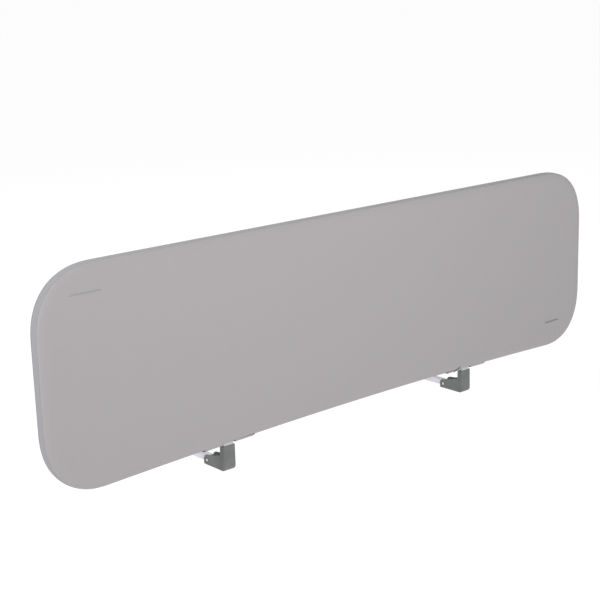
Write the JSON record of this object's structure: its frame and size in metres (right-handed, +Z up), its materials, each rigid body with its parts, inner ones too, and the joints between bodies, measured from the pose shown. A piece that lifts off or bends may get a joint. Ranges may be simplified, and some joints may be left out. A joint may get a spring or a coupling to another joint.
{
  "type": "bed guard rail",
  "caption": "Fold-flat bed guard rail: long rounded fabric panel on a tube frame, dark L brackets below, and hinged flat arms that slide under the mattress.",
  "frame": {"origin": "middle of the footprint, on the plane that the bracket feet and arm soles stand on", "axes": "+X along the bed, to the right when the panel's outer face is looked at; -Y out of the outer face; +Y back under the mattress; +Z up"},
  "size_m": [1.5, 0.364, 0.471],
  "materials": {
    "cover_cloth": "plain weave polyester, warm grey, laminated to thin foam",
    "gusset_cloth": "plain weave polyester, cooler grey, edge band",
    "binding_tape": "woven seam binding",
    "touch_tape_nylon": "black hook and loop tape",
    "frame_tube_steel": "light grey powder coat",
    "spine_paint": "light grey powder coat",
    "arm_paint": "pale lavender grey powder coat",
    "zinc_steel": "zinc plated",
    "rivet_steel": "bright nickel",
    "bracket_plastic": "dark grey moulded nylon, fine texture",
    "housing_plastic": "charcoal moulded nylon",
    "nylon": "natural nylon",
    "sole_rubber": "black rubber, ribbed"
  },
  "bodies": {
    "panel": {"cover_front": "cover_cloth", "cover_back": "cover_cloth", "cover_gusset": "gusset_cloth", "front_seam_binding": "binding_tape", "back_seam_binding": "binding_tape", "left_frame_tube": "frame_tube_steel", "right_frame_tube": "frame_tube_steel", "top_coupler_tube": "zinc_steel", "top_coupler_screws": "zinc_steel", "lower_cross_tube": "frame_tube_steel", "left_housing_front": "housing_plastic", "left_housing_back": "housing_plastic", "left_housing_screws": "zinc_steel", "left_spine_tube": "spine_paint", "left_spine_screws": "zinc_steel", "left_bracket": "bracket_plastic", "left_hinge_rivet": "rivet_steel", "left_hinge_washers": "nylon", "left_cover_flap": "cover_cloth", "left_touch_tape": "touch_tape_nylon", "right_housing_front": "housing_plastic", "right_housing_back": "housing_plastic", "right_housing_screws": "zinc_steel", "right_spine_tube": "spine_paint", "right_spine_screws": "zinc_steel", "right_bracket": "bracket_plastic", "right_hinge_rivet": "rivet_steel", "right_hinge_washers": "nylon", "right_cover_flap": "cover_cloth", "right_touch_tape": "touch_tape_nylon"},
    "left_arm": {"left_arm_tube": "arm_paint", "left_arm_nose": "housing_plastic", "left_nose_pin": "zinc_steel", "left_arm_end_cap": "housing_plastic", "left_arm_sole": "sole_rubber"},
    "right_arm": {"right_arm_tube": "arm_paint", "right_arm_nose": "housing_plastic", "right_nose_pin": "zinc_steel", "right_arm_end_cap": "housing_plastic", "right_arm_sole": "sole_rubber"}
  },
  "joints": [
    {"name": "left_arm_fold", "type": "hinge", "parent": "panel", "child": "left_arm", "pos_m": [-0.3435, -0.1187, 0.01], "axis": [1, 0, 0], "range_deg": [0, 90]},
    {"name": "right_arm_fold", "type": "hinge", "parent": "panel", "child": "right_arm", "pos_m": [0.3435, -0.1187, 0.01], "axis": [1, 0, 0], "range_deg": [0, 90]}
  ]
}
